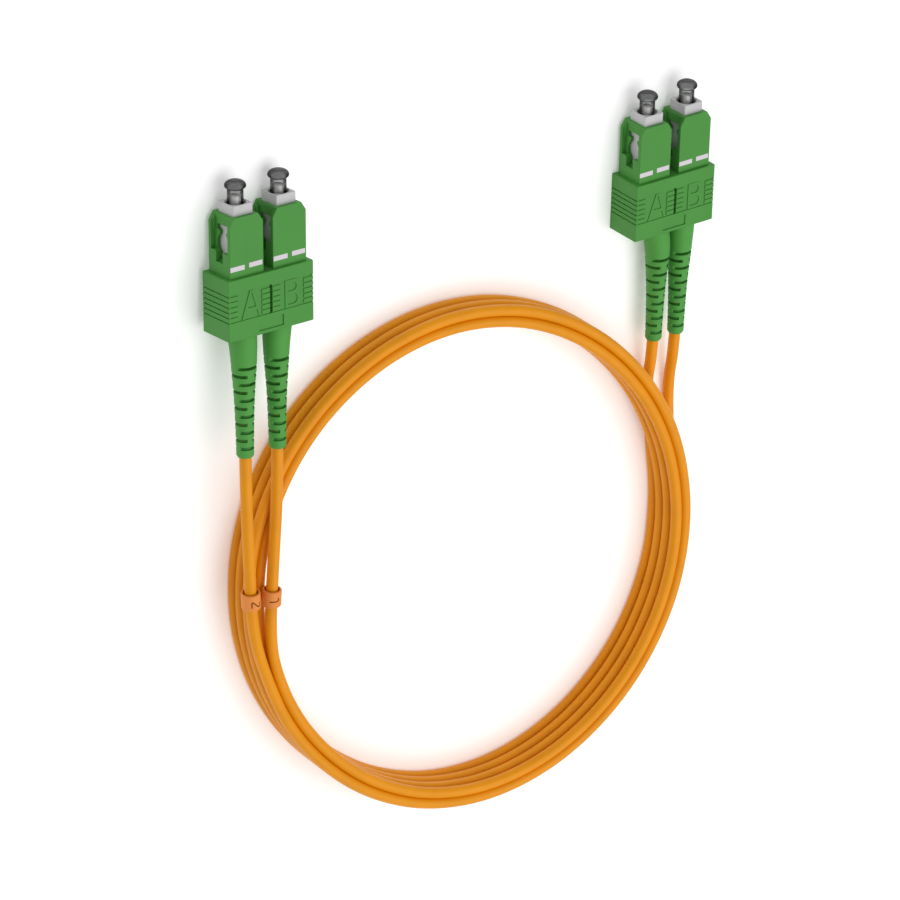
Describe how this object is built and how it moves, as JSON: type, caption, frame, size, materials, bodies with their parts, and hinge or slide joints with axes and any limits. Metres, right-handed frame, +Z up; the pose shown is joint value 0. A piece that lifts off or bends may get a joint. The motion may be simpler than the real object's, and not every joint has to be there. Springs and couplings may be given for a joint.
{
  "type": "fibre optic patch cable",
  "caption": "Duplex fibre optic patch cable: orange strands in a round hank, green push-pull connector pairs with bend-relief boots and dust caps at both ends.",
  "frame": {"origin": "middle of the footprint of the two connector pairs, on the surface that the cable lies on", "axes": "+Z up from that surface, +Y from the boots towards the ferrules, +X from connector pair a to connector pair b"},
  "size_m": [0.1513, 0.194, 0.0145],
  "materials": {
    "green_plastic": "satin moulded plastic",
    "green_rubber": "satin flexible boot",
    "plug_frame_grey": "light grey moulded plastic",
    "white_ceramic": "polished ceramic",
    "bright_metal": "nickel plated",
    "spring_steel": "drawn wire",
    "crimp_metal": "crimped",
    "fibre_coating": "buffered fibre",
    "smoke_plastic": "clear smoke-grey plastic",
    "orange_jacket": "satin cable jacket",
    "marker_orange": "satin sleeve with a numeral"
  },
  "bodies": {
    "cable": {"plug_frame_a1": "plug_frame_grey", "rear_body_a1": "bright_metal", "crimp_sleeve_a1": "crimp_metal", "boot_a1": "green_rubber", "spring_a1": "spring_steel", "plug_frame_a2": "plug_frame_grey", "rear_body_a2": "bright_metal", "crimp_sleeve_a2": "crimp_metal", "boot_a2": "green_rubber", "spring_a2": "spring_steel", "plug_frame_b1": "plug_frame_grey", "rear_body_b1": "bright_metal", "crimp_sleeve_b1": "crimp_metal", "boot_b1": "green_rubber", "spring_b1": "spring_steel", "plug_frame_b2": "plug_frame_grey", "rear_body_b2": "bright_metal", "crimp_sleeve_b2": "crimp_metal", "boot_b2": "green_rubber", "spring_b2": "spring_steel", "strand_a1": "orange_jacket", "strand_a2": "orange_jacket", "strand_b1": "orange_jacket", "strand_b2": "orange_jacket", "hank": "orange_jacket", "marker_ring_1": "marker_orange", "marker_ring_2": "marker_orange"},
    "push_pull_a": {"duplex_clip_a": "green_plastic", "grip_a1": "green_plastic", "grip_a2": "green_plastic"},
    "push_pull_b": {"duplex_clip_b": "green_plastic", "grip_b1": "green_plastic", "grip_b2": "green_plastic"},
    "ferrule_unit_a1": {"ferrule_a1": "white_ceramic", "ferrule_flange_a1": "bright_metal", "fibre_a1": "fibre_coating"},
    "cap_a1": {"dust_cap_a1": "smoke_plastic"},
    "ferrule_unit_a2": {"ferrule_a2": "white_ceramic", "ferrule_flange_a2": "bright_metal", "fibre_a2": "fibre_coating"},
    "cap_a2": {"dust_cap_a2": "smoke_plastic"},
    "ferrule_unit_b1": {"ferrule_b1": "white_ceramic", "ferrule_flange_b1": "bright_metal", "fibre_b1": "fibre_coating"},
    "cap_b1": {"dust_cap_b1": "smoke_plastic"},
    "ferrule_unit_b2": {"ferrule_b2": "white_ceramic", "ferrule_flange_b2": "bright_metal", "fibre_b2": "fibre_coating"},
    "cap_b2": {"dust_cap_b2": "smoke_plastic"}
  },
  "joints": [
    {"name": "push_pull_a_slide", "type": "slide", "parent": "cable", "child": "push_pull_a", "axis": [-0.013, -0.9958, 0.0906], "range_m": [0, 0.0016]},
    {"name": "push_pull_b_slide", "type": "slide", "parent": "cable", "child": "push_pull_b", "axis": [0.0314, -0.9995, 0], "range_m": [0, 0.0016]},
    {"name": "ferrule_a1_spring", "type": "slide", "parent": "cable", "child": "ferrule_unit_a1", "axis": [-0.013, -0.9958, 0.0906], "range_m": [0, 0.001], "stiffness_N_per_m": 3000, "springref_m": -0.002, "deforming": ["spring_a1"]},
    {"name": "cap_a1_pull_off", "type": "slide", "parent": "ferrule_unit_a1", "child": "cap_a1", "axis": [0.013, 0.9958, -0.0906], "range_m": [0, 0.008]},
    {"name": "ferrule_a2_spring", "type": "slide", "parent": "cable", "child": "ferrule_unit_a2", "axis": [-0.013, -0.9958, 0.0906], "range_m": [0, 0.001], "stiffness_N_per_m": 3000, "springref_m": -0.002, "deforming": ["spring_a2"]},
    {"name": "cap_a2_pull_off", "type": "slide", "parent": "ferrule_unit_a2", "child": "cap_a2", "axis": [0.013, 0.9958, -0.0906], "range_m": [0, 0.008]},
    {"name": "ferrule_b1_spring", "type": "slide", "parent": "cable", "child": "ferrule_unit_b1", "axis": [0.0314, -0.9995, 0], "range_m": [0, 0.001], "stiffness_N_per_m": 3000, "springref_m": -0.002, "deforming": ["spring_b1"]},
    {"name": "cap_b1_pull_off", "type": "slide", "parent": "ferrule_unit_b1", "child": "cap_b1", "axis": [-0.0314, 0.9995, 0], "range_m": [0, 0.008]},
    {"name": "ferrule_b2_spring", "type": "slide", "parent": "cable", "child": "ferrule_unit_b2", "axis": [0.0314, -0.9995, 0], "range_m": [0, 0.001], "stiffness_N_per_m": 3000, "springref_m": -0.002, "deforming": ["spring_b2"]},
    {"name": "cap_b2_pull_off", "type": "slide", "parent": "ferrule_unit_b2", "child": "cap_b2", "axis": [-0.0314, 0.9995, 0], "range_m": [0, 0.008]}
  ]
}
